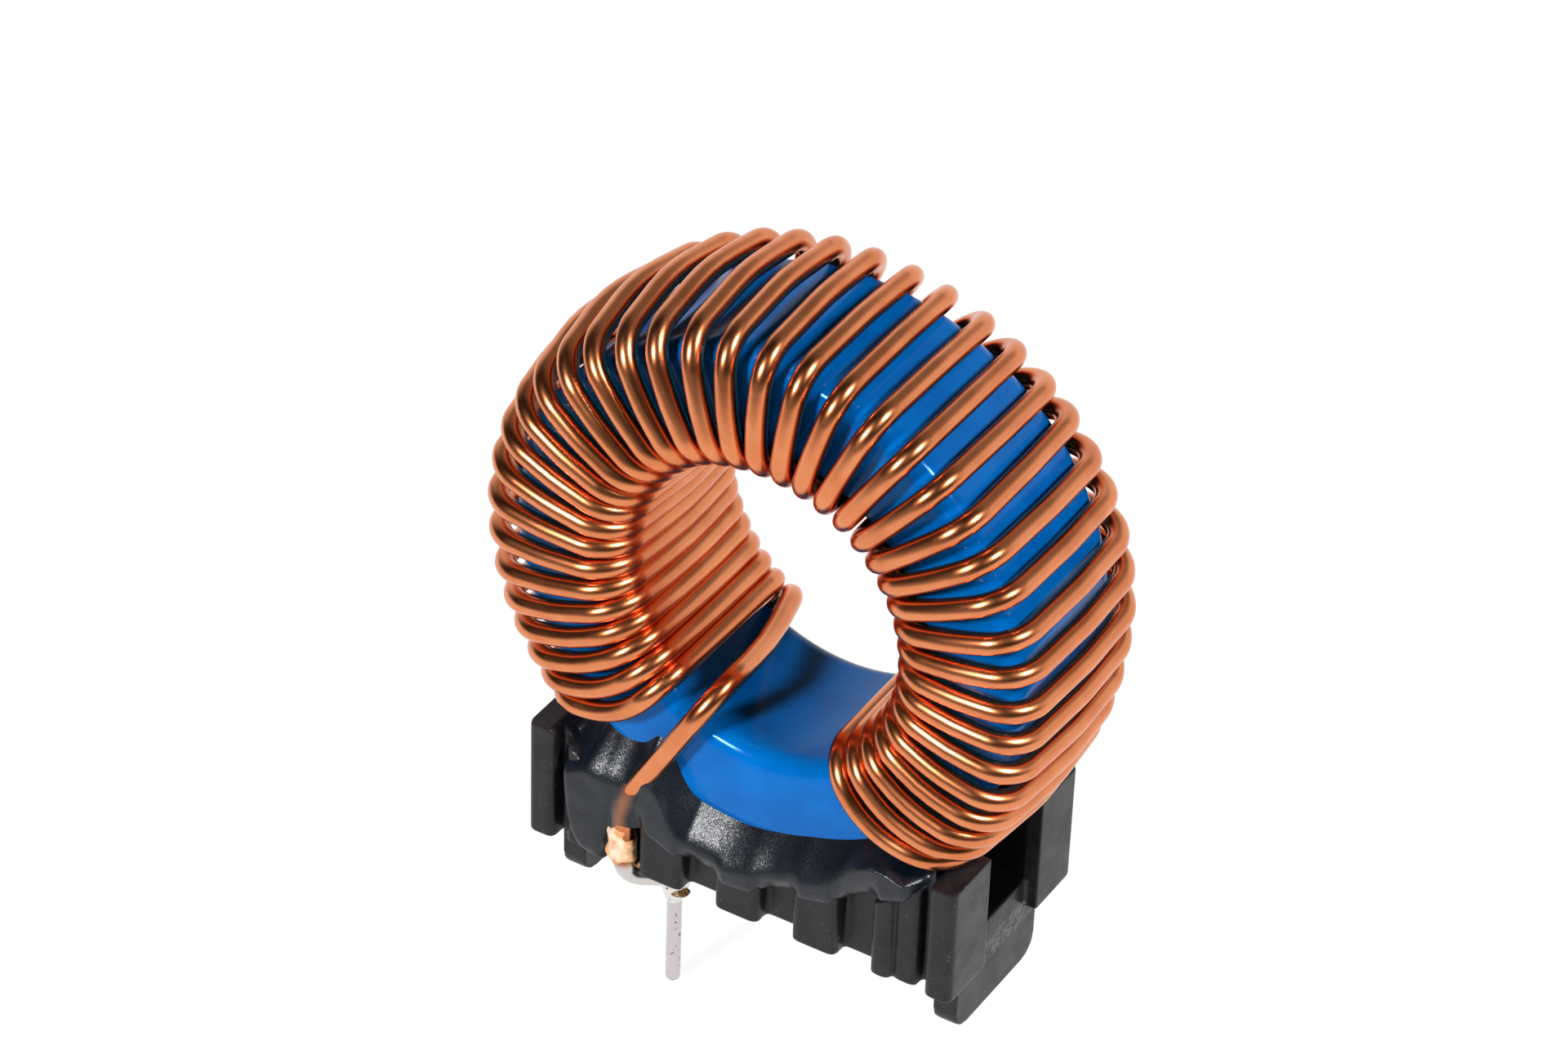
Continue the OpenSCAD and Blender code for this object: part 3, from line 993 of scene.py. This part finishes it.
@dataclass
class Header:
    """Moulded header: two toothed rails on a channel's floor, with end posts and thin feet."""

    ring: Ring
    length: float = 27.8
    width: float = 13.8
    rail_z: float = 4.2
    post_z: float = 12.0
    channel_w: float = 5.8
    floor_z: float = 6.1
    end_recess: float = 0.8
    tooth_pitch: float = 5.08
    tooth_w: float = 2.87
    groove_d: float = 1.15
    post_w: float = 1.7
    rib_w: float = 1.3
    step_d: float = 0.3
    foot_t: float = 1.5
    foot_w: float = 8.8
    foot_corner_r: float = 1.2
    cradle_r: float = 16.15
    shoulder_r: float = 17.6
    relief_r: float = 18.0
    relief_x: float = 8.35
    tooth_r: float = 0.38
    voxel: float = 0.1
    worn: int = 8
    kept: float = 0.3

    def bands(self) -> list[tuple[float, float, float]]:
        """Start, end and depth along X of each tooth, rib and post on a long face."""
        full, half = self.groove_d, self.tooth_w / 2
        end = 2 * self.tooth_pitch + half
        middle = [(i * self.tooth_pitch - half, i * self.tooth_pitch + half, full) for i in (-1, 0, 1)]
        right = [(end - self.tooth_w, end - self.tooth_w + self.rib_w, full),
                 (end - self.tooth_w + self.rib_w, end, full - self.step_d),
                 (self.length / 2 - self.post_w, self.length / 2, full)]
        left = [(-b, -a, depth) for a, b, depth in right]
        return [*left, *middle, *right]

    def rails(self) -> Thing:
        """Cuts a block into bands and draws the teeth and posts out of its long faces."""
        inner_y = self.width / 2 - self.groove_d
        half = self.length / 2
        rails = block("header_base", (-half, -inner_y, self.rail_z), (half, inner_y, self.post_z))
        edges = sorted({round(x, 4) for a, b, _ in self.bands() for x in (a, b)})
        sliced(rails, (1, 0, 0), [x for x in edges if abs(x) < half - NEAR])
        for low, high, depth in self.bands():
            for side in Side:
                pick(rails, Pick.FACES, lambda middle, normal: (
                    low < middle.x < high and abs(middle.y) > inner_y - NEAR and -normal.y * side.value > 0.9))
                bpy.ops.mesh.extrude_region_move(
                    TRANSFORM_OT_translate={"value": (0, -side.value * depth, 0)})
                leave_edit()
        cleaned(rails)
        pick(rails, Pick.EDGES, lambda a, b: (
            abs(a.z - b.z) > 1 and min(abs(a.y), abs(b.y)) > inner_y + 0.3 and abs(a.x - b.x) < NEAR))
        bpy.ops.mesh.bevel(affect="EDGES", offset=self.tooth_r, segments=3, clamp_overlap=True)
        leave_edit()
        return rails

    def foot(self, side: float) -> Thing:
        """Thin foot under one end, with rounded lower corners.

        Args:
            side: 1 for the right end and -1 for the left end.

        Returns:
            The foot.
        """
        outer = self.length / 2 - self.end_recess
        low, high = sorted((side * outer, side * (outer - self.foot_t)))
        foot = block("foot", (low, -self.foot_w / 2, 0), (high, self.foot_w / 2, self.floor_z))
        pick(foot, Pick.EDGES, lambda a, b: a.z < NEAR and b.z < NEAR and abs(a.x - b.x) > 0.1)
        bpy.ops.mesh.bevel(affect="EDGES", offset=self.foot_corner_r, segments=6)
        leave_edit()
        return foot

    def build(self) -> Thing:
        """Builds the whole header and returns it."""
        rails = self.rails()
        half, far = self.length / 2, self.length
        half_w = self.channel_w / 2
        over = self.post_z + 5
        carve(rails, block("channel", (-far, -half_w, self.floor_z), (far, half_w, over)), Cut.TAKE)
        for side in (-1, 1):
            low, high = sorted((side * (half - self.end_recess), side * far))
            carve(rails, block("end", (low, -half_w, 0), (high, half_w, over)), Cut.TAKE)
            carve(rails, self.foot(side), Cut.JOIN)
        centre = (0, 0, self.ring.centre_z)
        shoulder_y = self.width / 2 - self.groove_d
        for side in Side:
            middle = (0, -side.value * (shoulder_y + self.width / 2), self.ring.centre_z)
            carve(rails, drum("shoulder", self.shoulder_r, self.width, middle), Cut.TAKE)
        relief = drum("relief", self.relief_r, 2 * self.width, centre)
        carve(relief, block("keep", (-self.relief_x, -self.width * 2, -5), (self.relief_x, self.width * 2, 60)),
              Cut.TAKE)
        carve(rails, relief, Cut.TAKE)
        carve(rails, drum("cradle", self.cradle_r, 2 * self.width, centre), Cut.TAKE)
        modified(rails, "REMESH", mode="VOXEL", voxel_size=self.voxel)
        modified(rails, "SMOOTH", factor=0.5, iterations=self.worn)
        return modified(rails, "DECIMATE", ratio=self.kept)


@dataclass
class GlueBead:
    """Adhesive that was poured along the foot of the core and ran down over the teeth."""

    ring: Ring
    side: Side
    seed: float
    left: float = -12.5
    right: float = 12.0
    face_y: float = 7.08
    slopes: tuple[Point, ...] = ((5.5, 2.5), (8.5, 1.0), (12.0, 0.8))
    tooth_y: float = 6.86
    lip: float = 0.3
    dip: float = 0.95
    dip_h: float = 0.9
    tooth_pitch: float = 5.08
    groove_edges: Point = (0.2, 0.9)
    lead_x: float = 7.62
    lead_y: float = 6.5
    lead_z: float = 8.9
    lead_lean: float = 0.582
    lead_r: float = 0.65
    lead_blend: float = 0.64
    film: float = 0.06
    film_curve: float = 0.5
    film_blend: float = 0.12
    film_reach: float = 2.0
    bare_z: float = 9.5
    lump: float = 0.05
    lump_rate: float = 0.7
    sunk: float = 0.03
    swell: float = 0.25
    lip_h: float = 0.6
    lip_blend: float = 0.15
    root_y: float = 5.7
    end_shares: Point = (0.05, 0.06)
    skin: float = 0.7
    columns: int = 260
    rows: int = 72
    upper: tuple[Point, ...] = (
        (-12.5, 18.3), (-11.9, 17.8), (-11.0, 17.0), (-10.0, 16.0), (-8.7, 15.3), (-7.1, 14.3), (-5.9, 13.0),
        (-5.2, 13.3), (-4.4, 14.6), (-3.2, 15.4), (-1.1, 15.4), (2.1, 14.95), (4.2, 14.75), (7.3, 14.75), (9.5, 15.8),
        (10.6, 16.7), (12.0, 17.4))
    lower: tuple[Point, ...] = (
        (-12.5, 10.4), (-11.9, 8.6), (-11.3, 6.4), (-10.5, 4.75), (-9.6, 4.4), (-8.9, 4.45), (-8.2, 6.9), (-6.8, 7.5),
        (-5.5, 7.2), (-3.8, 6.5), (-1.5, 6.1), (1.6, 6.5), (4.1, 7.4), (6.3, 8.0), (8.4, 9.2), (9.65, 9.8),
        (10.6, 10.2), (12.0, 10.7))

    def groove(self, x: float) -> float:
        """Share of a groove at an x, from 0 on a tooth to 1 in the middle of a groove."""
        wave = 0.5 - 0.5 * math.cos(math.tau * x / self.tooth_pitch)
        low, high = self.groove_edges
        return smooth((wave - low) / (high - low))

    def core_y(self, radius: float) -> float:
        """Distance of the core's rounded face from the middle plane at a radius."""
        past = min(self.ring.edge_r, max(0.0, radius - self.ring.outer_r + self.ring.edge_r))
        return self.ring.height / 2 - self.ring.edge_r + math.sqrt(self.ring.edge_r ** 2 - past ** 2)

    def lead_at(self, z: float) -> float:
        """Place along X of the lead's middle line at a height."""
        return -self.lead_x + soft_max(0.0, z - self.lead_z, self.lead_blend) * self.lead_lean

    def surface(self, u: float, v: float) -> Vector:
        """Point of the bead's face.

        Args:
            u: Share of the way from the left end to the right end.
            v: Share of the way from the upper edge to the lower edge.

        Returns:
            The point in millimetres, on the front of the part.
        """
        x = self.left + (self.right - self.left) * u
        radius = along(self.upper, x)
        top, low = self.ring.face_z(radius, x), along(self.lower, x)
        z = top + (low - top) * v
        above, start = z - low, self.core_y(radius) - self.sunk
        fall = min(1.0, (top - z) / along(self.slopes, x))
        y = start + (self.face_y - start) * ((1 + self.swell) * fall - self.swell * fall ** 5)
        y += self.lump * noise.noise(Vector((x, z, self.seed)) * self.lump_rate) * 4 * v * (1 - v)
        lip = self.tooth_y + self.lip * math.sqrt(max(0.0, above) / self.lip_h)
        y = -soft_max(-y, -lip, self.lip_blend)
        y -= self.dip * self.groove(x) * math.exp(-above / self.dip_h)
        across = x - self.lead_at(z)
        cover = self.lead_y + self.lead_r + self.film - self.film_curve * across * across
        cover -= max(0.0, z - self.bare_z) ** 2 * self.film_curve
        y = soft_max(y, cover, self.film_blend) if abs(across) < self.film_reach else y
        ends = smooth(u / self.end_shares[0]) * smooth((1 - u) / self.end_shares[1])
        return Vector((x, -(self.root_y + (y - self.root_y) * ends), z))

    def build(self) -> Thing:
        """Shapes a grid into the bead, gives it its thickness and returns it."""
        bead = added(f"adhesive_{self.side.label}", bpy.ops.mesh.primitive_grid_add,
                     x_subdivisions=self.columns, y_subdivisions=self.rows, size=1)
        turn = self.side.turn
        moved(bead, lambda p: turn @ self.surface(p.x + 0.5, 0.5 - p.y))
        modified(bead, "SOLIDIFY", thickness=self.skin, offset=-1.0)
        return cleaned(bead)


@dataclass
class Terminal:
    """Round board pin with the solder that joins a lead to it."""

    side: Side
    pin_r: float = 0.435
    tip_z: float = -4.035
    top_z: float = 4.6
    offset: float = 5.08
    tip_r: float = 0.2
    solder_r: float = 1.02
    grip: float = 1.1
    solder_low: float = 1.9
    solder_top: float = 4.2
    belly: float = 0.16
    slices: int = 8
    ring_start: float = 0.5
    ring_step: float = 0.35
    rings: int = 22
    drops: Sequence[tuple[Point3, Point3]] = (
        ((0.42, -0.25, 2.82), (0.72, 0.5, 0.24)), ((-1.85, -0.8, 4.15), (0.45, 0.42, 0.4)))

    def place(self, point: Vector) -> Vector:
        """Moves a point from the pin's own axis to its place in the part."""
        return point - Vector((self.offset, self.offset, 0)) * self.side.value

    def pin(self) -> Thing:
        """Builds the pin with its rounded tip and returns it."""
        height = self.top_z - self.tip_z
        pin = added(f"terminal_pin_{self.side.label}", bpy.ops.mesh.primitive_cylinder_add, vertices=40,
                    radius=self.pin_r, depth=height, location=(0, 0, self.tip_z + height / 2))
        pick(pin, Pick.EDGES, lambda a, b: max(a.z, b.z) < self.tip_z + NEAR)
        bpy.ops.mesh.bevel(affect="EDGES", offset=self.tip_r, segments=5)
        leave_edit()
        sliced(pin, (0, 0, 1), [self.tip_z + self.ring_start + self.ring_step * i for i in range(self.rings)])
        rough(pin, grain=1.1, height=0.012, seed=3.0 + self.side.value)
        return moved(pin, self.place)

    def solder(self) -> Thing:
        """Builds the solder fillet under the rail and returns it."""
        height = self.solder_top - self.solder_low
        fillet = added(f"solder_{self.side.label}", bpy.ops.mesh.primitive_cone_add, vertices=48,
                       radius1=self.pin_r * self.grip, radius2=self.solder_r, depth=height,
                       location=(0, 0, self.solder_low + height / 2))
        sliced(fillet, (0, 0, 1), [self.solder_low + height * k / self.slices for k in range(1, self.slices)])

        def swollen(point: Vector) -> Vector:
            """Widens the fillet between its ends."""
            share = (point.z - self.solder_low) / height
            pull = 1 + self.belly * math.sin(math.pi * share)
            return Vector((point.x * pull, point.y * pull, point.z))

        moved(fillet, swollen)
        rough(fillet, grain=0.6, height=0.07, seed=8.0 + self.side.value)
        return moved(fillet, self.place)

    def flux(self) -> Thing:
        """Builds the drops of burnt flux beside the pin's top and the lead, and returns them as one piece."""
        turn = self.side.turn
        parts = []
        for middle, radii in self.drops:
            drop = added(f"flux_{self.side.label}", bpy.ops.mesh.primitive_uv_sphere_add, radii,
                         segments=32, ring_count=20, radius=1)
            rough(drop, grain=0.35, height=0.1, seed=5.0)
            parts.append(moved(drop, lambda p: self.place(turn @ (p + Vector(middle)))))
        only(parts[0])
        for drop in parts:
            drop.select_set(True)
        bpy.ops.object.join()
        return parts[0]


@dataclass
class LeadCrust:
    """Burnt enamel that was left on a lead above its solder."""

    side: Side
    lead_x: float = 7.62
    lead_y: float = 6.5
    radius: float = 0.69
    low: float = 4.3
    high: float = 7.6
    aside: float = 0.16
    waist: float = 1.12
    taper: float = 0.14
    end_power: int = 6
    flat: float = 1.1
    lump: float = 0.2
    lump_size: float = 0.75
    limit_y: float = 7.22

    def build(self) -> Thing:
        """Builds the lumpy sleeve and returns it."""
        height, turn = self.high - self.low, self.side.turn
        crust = added(f"lead_crust_{self.side.label}", bpy.ops.mesh.primitive_uv_sphere_add,
                      segments=48, ring_count=40, radius=1)

        def sleeve(point: Vector) -> Vector:
            """Draws the ball out into a sleeve with closed ends."""
            level = math.asin(max(-1.0, min(1.0, point.z))) / (math.pi / 2)
            around = max(1e-6, math.hypot(point.x, point.y))
            width = self.radius * (1 - abs(level) ** self.end_power) * (self.waist - self.taper * level)
            return Vector((point.x / around * width * self.flat, point.y / around * width, level * height / 2))

        rough(moved(crust, sleeve), grain=self.lump_size, height=self.lump, seed=2.0)

        def seated(point: Vector) -> Vector:
            """Puts the sleeve round its lead, within the part's width."""
            spot = point + Vector((-self.lead_x - self.aside, -self.lead_y, (self.low + self.high) / 2))
            return turn @ Vector((spot.x, max(spot.y, -self.limit_y), spot.z))

        return moved(crust, seated)


# The stage


@dataclass
class Studio:
    """Pale floor, two soft boxes either side of the camera, a bright back and a darker room in front."""

    ring: Ring
    floor_z: float = -4.05
    floor_size: float = 6000.0
    azimuth: float = 30.35
    elevation: float = 36.28
    roll: float = 2.07
    distance: float = 304.8
    lens_px: float = 6820.3
    frame_px: float = 1920.0
    sensor: float = 36.0
    aside_px: float = 32.0
    below_px: float = 43.3
    lamps: tuple[tuple[str, Point3], ...] = (
        ("box_left", (-0.175, -0.853, 0.492)), ("box_right", (0.684, -0.152, 0.714)))
    lamp_away: float = 520.0
    lamp_size: Point = (80.0, 80.0)
    lamp_power: float = 3.1
    back_y: Point = (-0.1, 0.62)
    back_light: Point = (0.02, 1.0)
    wall_z: Point = (0.4, 0.72)
    wall_light: Point = (1.0, 0.25)
    fill: float = 0.3

    def axes(self) -> tuple[Vector, Vector, Vector]:
        """Right, up and backward directions of the camera."""
        a, e, roll = (math.radians(v) for v in (self.azimuth, self.elevation, self.roll))
        back = Vector((math.sin(a) * math.cos(e), -math.cos(a) * math.cos(e), math.sin(e)))
        right = Vector((math.cos(a), math.sin(a), 0))
        up = back.cross(right)
        return (right * math.cos(roll) + up * math.sin(roll), up * math.cos(roll) - right * math.sin(roll), back)

    def camera(self) -> None:
        """Sets the camera at the photograph's angle."""
        right, up, back = self.axes()
        scale = self.distance / self.lens_px
        place = Vector((0, 0, self.ring.centre_z)) + back * self.distance
        place += up * self.below_px * scale - right * self.aside_px * scale
        data = bpy.data.cameras.new("camera")
        data.sensor_width = self.sensor
        data.lens = self.lens_px / self.frame_px * self.sensor
        data.clip_start, data.clip_end = 0.01, 20.0
        camera = bpy.data.objects.new("camera", data)
        bpy.context.scene.collection.objects.link(camera)
        turn = Matrix((right, up, back)).transposed().to_4x4()
        camera.matrix_world = Matrix.Translation(place * MM) @ turn
        bpy.context.scene.camera = camera

    def box_light(self, name: str, direction: Point3) -> None:
        """Adds a soft box that looks at the ring.

        Args:
            name: Name of the light.
            direction: Direction from the ring to the light.
        """
        data = bpy.data.lights.new(name, "AREA")
        data.shape = "RECTANGLE"
        data.size, data.size_y = self.lamp_size[0] * MM, self.lamp_size[1] * MM
        data.energy = self.lamp_power
        lamp = bpy.data.objects.new(name, data)
        bpy.context.scene.collection.objects.link(lamp)
        way = Vector(direction).normalized()
        lamp.location = (Vector((0, 0, self.ring.centre_z)) + way * self.lamp_away) * MM
        lamp.rotation_euler = way.to_track_quat("Z", "Y").to_euler()

    def floor(self) -> None:
        """Adds the pale floor, which shows white and keeps a faint shadow."""
        floor = added("floor", bpy.ops.mesh.primitive_plane_add, size=self.floor_size * MM,
                      location=(0, 0, self.floor_z * MM))
        floor.data.materials.append(PaleFloor().make())

    def world(self) -> None:
        """Sets a white background, bright behind the part and darker in front and above."""
        world = bpy.data.worlds.new("studio")
        world.use_nodes = True
        bpy.context.scene.world = world
        tree = world.node_tree
        tree.nodes.clear()
        way = add_node(tree, "TexCoord", output="Generated")
        depth = add_node(tree, "SeparateXYZ", inputs={"Vector": way}, output="Y")
        height = add_node(tree, "SeparateXYZ", inputs={"Vector": way}, output="Z")
        back = add_node(tree, "MapRange", SOFT, {
            "Value": depth, "From Min": self.back_y[0], "From Max": self.back_y[1],
            "To Min": self.back_light[0], "To Max": self.back_light[1]})
        wall = add_node(tree, "MapRange", SOFT, {
            "Value": height, "From Min": self.wall_z[0], "From Max": self.wall_z[1],
            "To Min": self.wall_light[0], "To Max": self.wall_light[1]})
        level = add_node(tree, "Math", {"operation": "MULTIPLY"}, {0: back, 1: wall})
        dim = add_node(tree, "Math", {"operation": "MULTIPLY"}, {0: level, 1: self.fill})
        lit = add_node(tree, "Mix", NUMBERS, {0: seen(tree), 2: dim, 3: level})
        camera = add_node(tree, "LightPath", output="Is Camera Ray")
        strength = add_node(tree, "Math", {"operation": "MAXIMUM"}, {0: lit, 1: camera})
        sky = add_node(tree, "Background", inputs={"Color": srgb("#ffffff"), "Strength": strength})
        add_node(tree, "OutputWorld", inputs={"Surface": sky})

    def build(self) -> None:
        """Sets the view transform, camera, floor, world and lights."""
        bpy.context.scene.view_settings.view_transform = "Standard"
        self.camera()
        self.floor()
        self.world()
        for name, direction in self.lamps:
            self.box_light(name, direction)


def make_part(ring: Ring) -> None:
    """Builds and dresses every piece of the choke.

    Args:
        ring: Place and section of the core.
    """
    epoxy, copper = EpoxyCoat().make(), EnamelledCopper().make()
    plastic, glue = MouldedPhenolic().make(), BlackEpoxyGlue().make()
    tinned = TinnedMetal("Tinned pin").make()
    solder = TinnedMetal("Solder", tin="#dedad6", roughness=0.2).make()
    crust = Crust("Burnt enamel crust", light="#d8c0a8", dark="#b8804f", grain=0.9).make()
    flux = Crust("Burnt flux", light="#8a6a3c", dark="#3b2614", grain=0.3, roughness=0.35).make()
    dressed(ring.build(), epoxy, ["toroid_core"])
    dressed(Winding(ring).build(), copper, ["winding"])
    dressed(Header(ring).build(), plastic, ["header_base"], smooth_deg=35)
    for side in Side:
        name = side.label
        bead = GlueBead(ring, side, seed=3.0 if side is Side.FRONT else 9.0)
        dressed(bead.build(), glue, [f"adhesive_{name}"], smooth_deg=60)
        terminal = Terminal(side)
        dressed(terminal.pin(), tinned, [f"terminal_pin_{name}"], smooth_deg=50)
        dressed(terminal.solder(), solder, [f"solder_{name}"], smooth_deg=50)
        dressed(terminal.flux(), flux)
        dressed(LeadCrust(side).build(), crust)


def main() -> None:
    """Loads the frame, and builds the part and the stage."""
    logging.basicConfig(level=logging.INFO, format="%(name)s: %(message)s")
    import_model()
    core_low, core_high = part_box("toroid_core")
    ring = Ring(
        outer_r=(core_high.x - core_low.x) / 2 / MM,
        height=(core_high.y - core_low.y) / MM,
        centre_z=(core_high.z + core_low.z) / 2 / MM)
    make_part(ring)
    Studio(ring).build()


if __name__ == "__main__":
    main()
